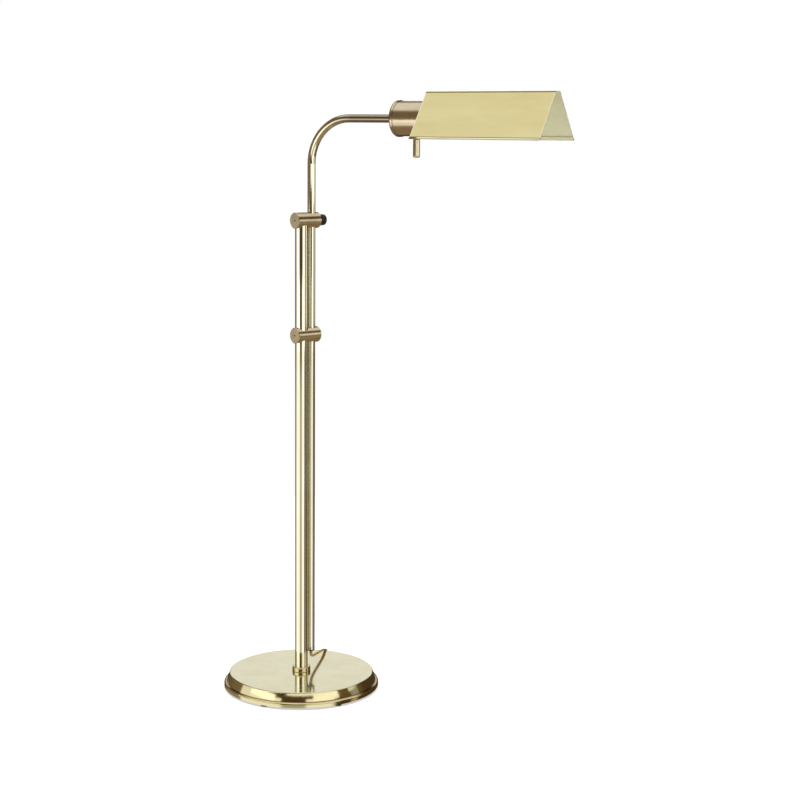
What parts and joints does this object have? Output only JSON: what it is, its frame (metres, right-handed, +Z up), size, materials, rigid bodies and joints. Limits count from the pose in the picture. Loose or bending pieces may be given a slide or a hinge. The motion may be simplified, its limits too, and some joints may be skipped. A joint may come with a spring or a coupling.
{
  "type": "pharmacy floor lamp",
  "caption": "Low floor lamp with a heavy round base, a fixed column, a clamped sliding stem with a bent arm, and a turning tent-shaped shade with a knob switch.",
  "frame": {"origin": "middle of the round base, on the floor", "axes": "+X along the arm at rest, from the stem to the shade; +Z up the column"},
  "size_m": [0.6876, 0.4725, 0.9678],
  "materials": {
    "polished_brass": "polished and lacquered",
    "satin_brass": "fine satin",
    "cast_iron": "rough cast",
    "zinc_steel": "zinc plated",
    "black_plastic": "fine matt",
    "rubber": "matt",
    "nylon": "smooth",
    "porcelain": "glazed",
    "bulb_glass": "frosted",
    "bulb_metal": "bright",
    "gold_cord": "clear gold vinyl",
    "gold_plug": "clear gold vinyl",
    "blade_brass": "bright"
  },
  "bodies": {
    "stand": {"base_shell": "polished_brass", "base_weight": "cast_iron", "base_bottom_plate": "zinc_steel", "plate_screws": "zinc_steel", "foot_pads": "rubber", "column_rod": "zinc_steel", "base_washer": "zinc_steel", "base_nut": "zinc_steel", "column_collar": "polished_brass", "column_foot_plug": "polished_brass", "column_tube": "polished_brass", "lower_clamp": "satin_brass", "upper_clamp": "satin_brass", "lower_clamp_bushing": "nylon", "upper_clamp_bushing": "nylon", "clamp_set_screws": "zinc_steel", "cord_tube": "gold_cord", "cord_hank": "gold_cord", "cord_tie": "black_plastic", "cord_tail": "gold_cord", "plug_body": "gold_plug", "plug_blades": "blade_brass"},
    "lift": {"cord_bushing": "black_plastic"},
    "stem": {"stem_tube": "polished_brass", "stem_lead": "gold_cord", "arm_nipple": "zinc_steel", "friction_washer": "nylon", "arm_spring_washer": "zinc_steel", "arm_locknut": "zinc_steel"},
    "head": {"housing_end_cap": "polished_brass", "socket_housing": "polished_brass", "lamp_socket": "porcelain", "socket_screw_shell": "blade_brass", "socket_contact": "blade_brass", "socket_standoffs": "zinc_steel", "bulb_cap": "bulb_metal", "bulb_glass": "bulb_glass", "switch_body": "black_plastic", "switch_nut": "polished_brass", "shade": "satin_brass", "shade_saddle": "satin_brass", "shade_screw": "zinc_steel"},
    "lock": {"lock_screw": "zinc_steel", "lock_knob": "black_plastic"},
    "switch": {"switch_shaft": "zinc_steel", "switch_knob": "polished_brass"}
  },
  "joints": [
    {"name": "height", "type": "slide", "parent": "stand", "child": "lift", "axis": [0, 0, 1], "range_m": [0, 0.4]},
    {"name": "swivel", "type": "hinge", "parent": "lift", "child": "stem", "pos_m": [0.00518, 0.01932, 0.5], "axis": [0, 0, 1], "range_deg": [-175, 175]},
    {"name": "shade_tilt", "type": "hinge", "parent": "stem", "child": "head", "pos_m": [0.16853, 0.01932, 0.9273], "axis": [1, 0, 0], "range_deg": [-90, 90]},
    {"name": "switch_turn", "type": "hinge", "parent": "head", "child": "switch", "pos_m": [0.20218, 0.01932, 0.88], "axis": [0, 0, 1], "continuous": true},
    {"name": "lock_turn", "type": "hinge", "parent": "stand", "child": "lock", "pos_m": [0.01035, 0.03864, 0.7668], "axis": [0.2588, 0.9659, 0], "range_deg": [0, 360]}
  ]
}
